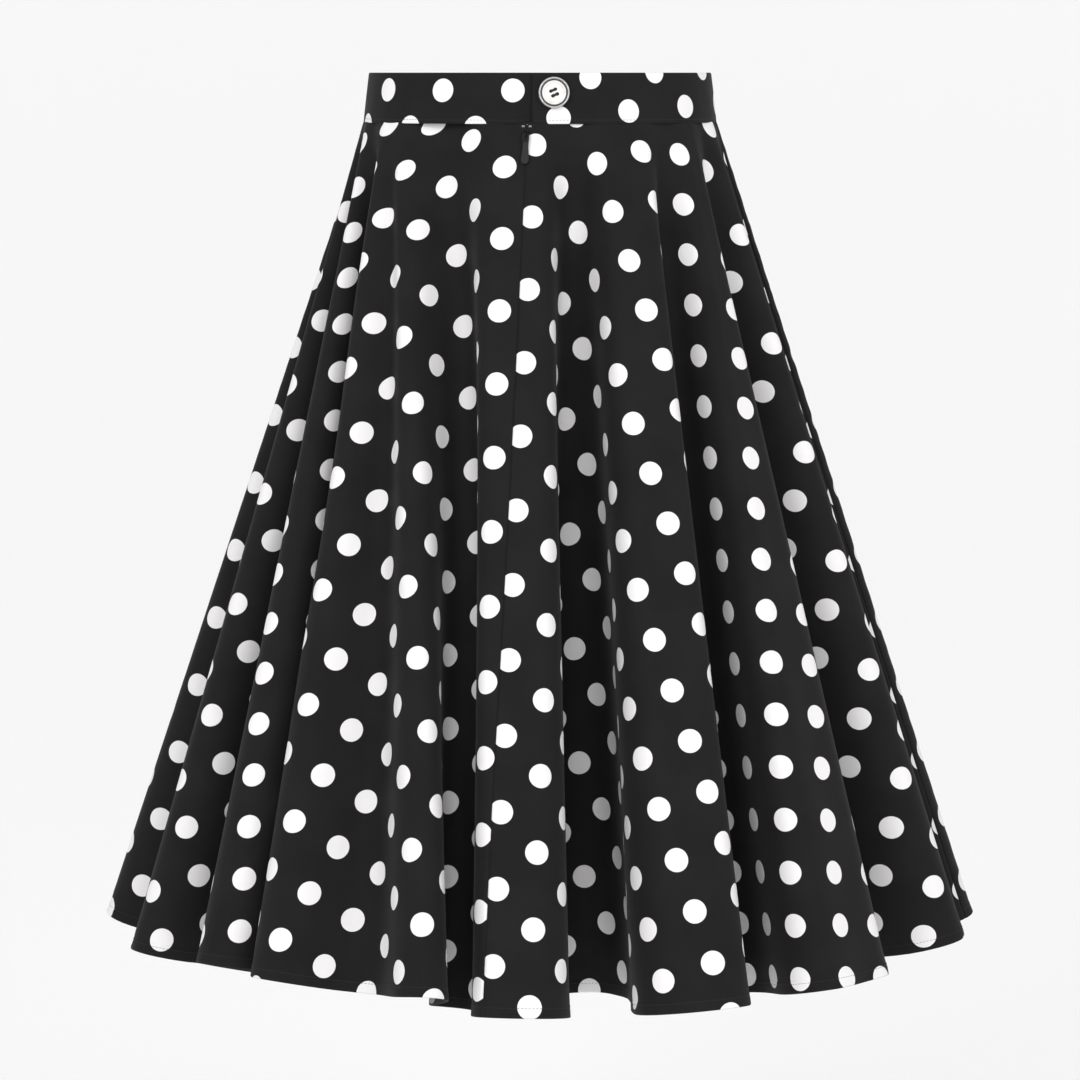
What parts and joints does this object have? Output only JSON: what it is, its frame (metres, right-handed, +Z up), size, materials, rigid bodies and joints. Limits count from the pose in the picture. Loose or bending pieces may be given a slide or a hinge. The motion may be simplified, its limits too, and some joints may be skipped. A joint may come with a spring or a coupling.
{
  "type": "midi skirt",
  "caption": "Full-circle midi skirt of dotted black cotton on a narrow waistband that buttons at the centre back, with a concealed zip, in worn form.",
  "frame": {"origin": "centre of the waist seam, where the waistband's bottom edge meets the skirt and the wearer's waist holds it", "axes": "+Z up; the centre back, with its zip and button, faces -Y; +X is the wearer's right"},
  "size_m": [0.6888, 0.5993, 0.6939],
  "materials": {
    "dotted_cotton": "matte woven cotton, black with white dots",
    "zip_tape": "matte knitted tape",
    "lacquered_metal": "satin black lacquer",
    "button_resin": "polished, cream with a black ring and a grey rim"
  },
  "bodies": {
    "garment": {"waistband": "dotted_cotton", "skirt_front": "dotted_cotton", "skirt_back_left": "dotted_cotton", "skirt_back_right": "dotted_cotton", "zip": "zip_tape", "zip_slider": "lacquered_metal", "button": "button_resin"},
    "pull": {"zip_pull": "lacquered_metal"}
  },
  "joints": [
    {"name": "pull_lift", "type": "hinge", "parent": "garment", "child": "pull", "pos_m": [-0.01052, -0.09823, -0.00726], "axis": [-0.987, 0.1606, -0.0005], "range_deg": [0, 150]}
  ]
}
